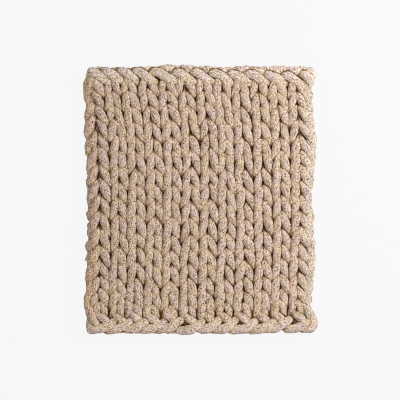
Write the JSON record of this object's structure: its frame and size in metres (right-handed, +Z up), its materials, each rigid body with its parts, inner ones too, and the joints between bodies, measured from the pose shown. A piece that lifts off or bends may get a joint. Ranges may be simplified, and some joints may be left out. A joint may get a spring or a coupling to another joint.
{
  "type": "chunky knit blanket",
  "caption": "Thick hand-knit blanket of large V stitches between chained ends, lying flat; spread over a lap, cot or chair for warmth.",
  "frame": {"origin": "middle of the blanket's outline, on the surface it lies on", "axes": "+X across the columns of stitches, +Y along them from the cast-on end to the bind-off end, +Z up out of the knit side"},
  "size_m": [0.7744, 0.8906, 0.048],
  "materials": {
    "chenille_yarn": "matt velvety chenille pile, pinkish beige"
  },
  "bodies": {
    "root": {"blanket": "chenille_yarn"}
  },
  "joints": []
}
